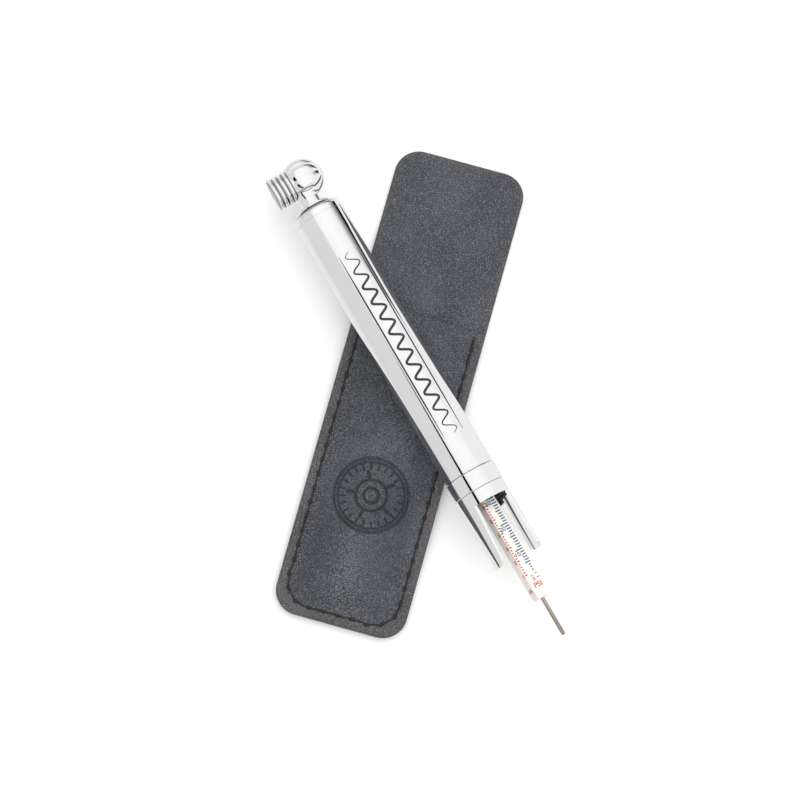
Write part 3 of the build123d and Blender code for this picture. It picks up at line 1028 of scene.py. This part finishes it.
def card_light(name, axis, low, high, stops):
    """An emitter whose strength follows one coordinate, from low to high, by (place, strength)."""
    s = Shader(name)
    s.nodes.remove(s.bsdf)
    split = s.nodes.new("ShaderNodeSeparateXYZ")
    s.links.new(s.place, split.inputs[0])
    reach = s.nodes.new("ShaderNodeMapRange")
    s.links.new(split.outputs[axis], reach.inputs["Value"])
    reach.inputs["From Min"].default_value = low
    reach.inputs["From Max"].default_value = high
    strength = s.ramp(reach.outputs[0], *[((v - low) / (high - low), g) for v, g in stops])
    glow = s.nodes.new("ShaderNodeEmission")
    s.links.new(strength, glow.inputs["Color"])
    glow.inputs["Strength"].default_value = 1.0
    s.links.new(glow.outputs[0], s.nodes["Material Output"].inputs["Surface"])
    return s.material


def reflected_only(obj):
    """The card shows in polished metal, and neither lights nor shades anything."""
    obj.visible_diffuse = False
    obj.visible_shadow = False
    obj.visible_transmission = False


def studio():
    world = bpy.data.worlds.new("studio")
    bpy.context.scene.world = world
    world.use_nodes = True
    background = world.node_tree.nodes["Background"]
    background.inputs["Color"].default_value = (1.0, 0.995, 0.985, 1)
    background.inputs["Strength"].default_value = 0.74
    box_height, wide = 1.6, 2.6
    low = AXIS_Y + box_height * math.tan(math.radians(-30))
    high = AXIS_Y + box_height * math.tan(math.radians(54))
    edges = ((-wide, low), (wide, low), (wide, high), (-wide, high))
    corners = [(x, y, box_height) for x, y in edges]
    lit = card("soft_box", corners, emitter("soft_box", (1, 1, 1), 1.84))
    lit.visible_glossy = False
    stops = ((low, 0.84), (low + 0.30, 1.0), (0.3, 1.05), (1.2, 1.0), (high, 0.93))
    corners = [(x, y, box_height - 0.01) for x, y in edges]
    reflected_only(card("soft_box_seen", corners, card_light("soft_box_tones", 1, low, high, stops)))

    # the wall to the right fades from grey to black at the floor, but only beside the head
    far, top = 1.5, 1.12
    stops = ((0, 0.004), (0.06, 0.05), (0.2, 0.2), (0.45, 0.42), (0.82, 0.78), (top, 1.0))
    fade = card_light("side_fade", 2, 0, top, stops)
    wall = [(-3, far, 0), (-0.27, far, 0), (-0.40, far, top), (-3, far, top)]
    reflected_only(card("side_wall", wall, fade))
    pale = emitter("pale_wall", (1.0, 1.0, 1.0), 0.91)
    wall = [(-3, far + 0.1, 0), (3, far + 0.1, 0), (3, far + 0.1, 1.2), (-3, far + 0.1, 1.2)]
    reflected_only(card("pale_wall", wall, pale))

    # what polished metal sees of the floor: pale, greyer to the left, and dark beyond the head
    stops = ((-3.0, 0.72), (-0.06, 0.72), (-0.03, 0.84), (0.06, 0.92), (3.0, 0.92))
    tones = card_light("floor_tones", 1, -3.0, 3.0, stops)
    seen = [(-3, -3, 0.0001), (3, -3, 0.0001), (3, 3, 0.0001), (-3, 3, 0.0001)]
    reflected_only(card("floor_seen", seen, tones))
    dark = emitter("black_flag", (0.004, 0.004, 0.005), 1.0)
    seen = [(-3, 0.10, 0.0002), (-0.075, 0.10, 0.0002), (-0.32, 3, 0.0002), (-3, 3, 0.0002)]
    reflected_only(card("dark_floor", seen, dark))

    # a dark gap beside the soft box that opens towards the gauge's tail
    flag_height = 1.2
    wedge = [
        (x, AXIS_Y - slope * flag_height, flag_height)
        for x, slope in ((-0.25, 0.61), (2.5, 0.61), (2.5, 1.08), (-0.10, 0.96))
    ]
    reflected_only(card("wedge_flag", wedge, dark))

    key = bpy.data.lights.new("key", "AREA")
    key.shape = "DISK"
    key.size = 0.9
    key.energy = 1.0
    lamp = bpy.data.objects.new("key", key)
    lamp.location = (-0.35, 0.75, 1.1)
    lamp.rotation_euler = (-lamp.location).to_track_quat("-Z", "Y").to_euler()
    lamp.visible_glossy = False
    bpy.context.scene.collection.objects.link(lamp)


def camera():
    """Looks almost straight down, with the gauge running from upper left to lower right."""
    data = bpy.data.cameras.new("camera")
    data.lens = 135
    data.sensor_width = 36
    obj = bpy.data.objects.new("camera", data)
    bpy.context.scene.collection.objects.link(obj)
    target = Vector((-4.6 * MM, -1.5 * MM, 0))
    tilt, turn = math.radians(9.6), math.radians(60.1)
    back = Vector((math.sin(turn) * math.sin(tilt), -math.cos(turn) * math.sin(tilt), math.cos(tilt)))
    distance = 0.905
    obj.location = target + back * distance
    obj.rotation_euler = (-back).to_track_quat("-Z", "Y").to_euler()
    bpy.context.scene.camera = obj
    bpy.context.scene.view_settings.view_transform = "Standard"


case_back()
stitches()
case_front()
scales()
barrel_decoration()
spring()
floor()
studio()
camera()

bpy.context.view_layer.update()
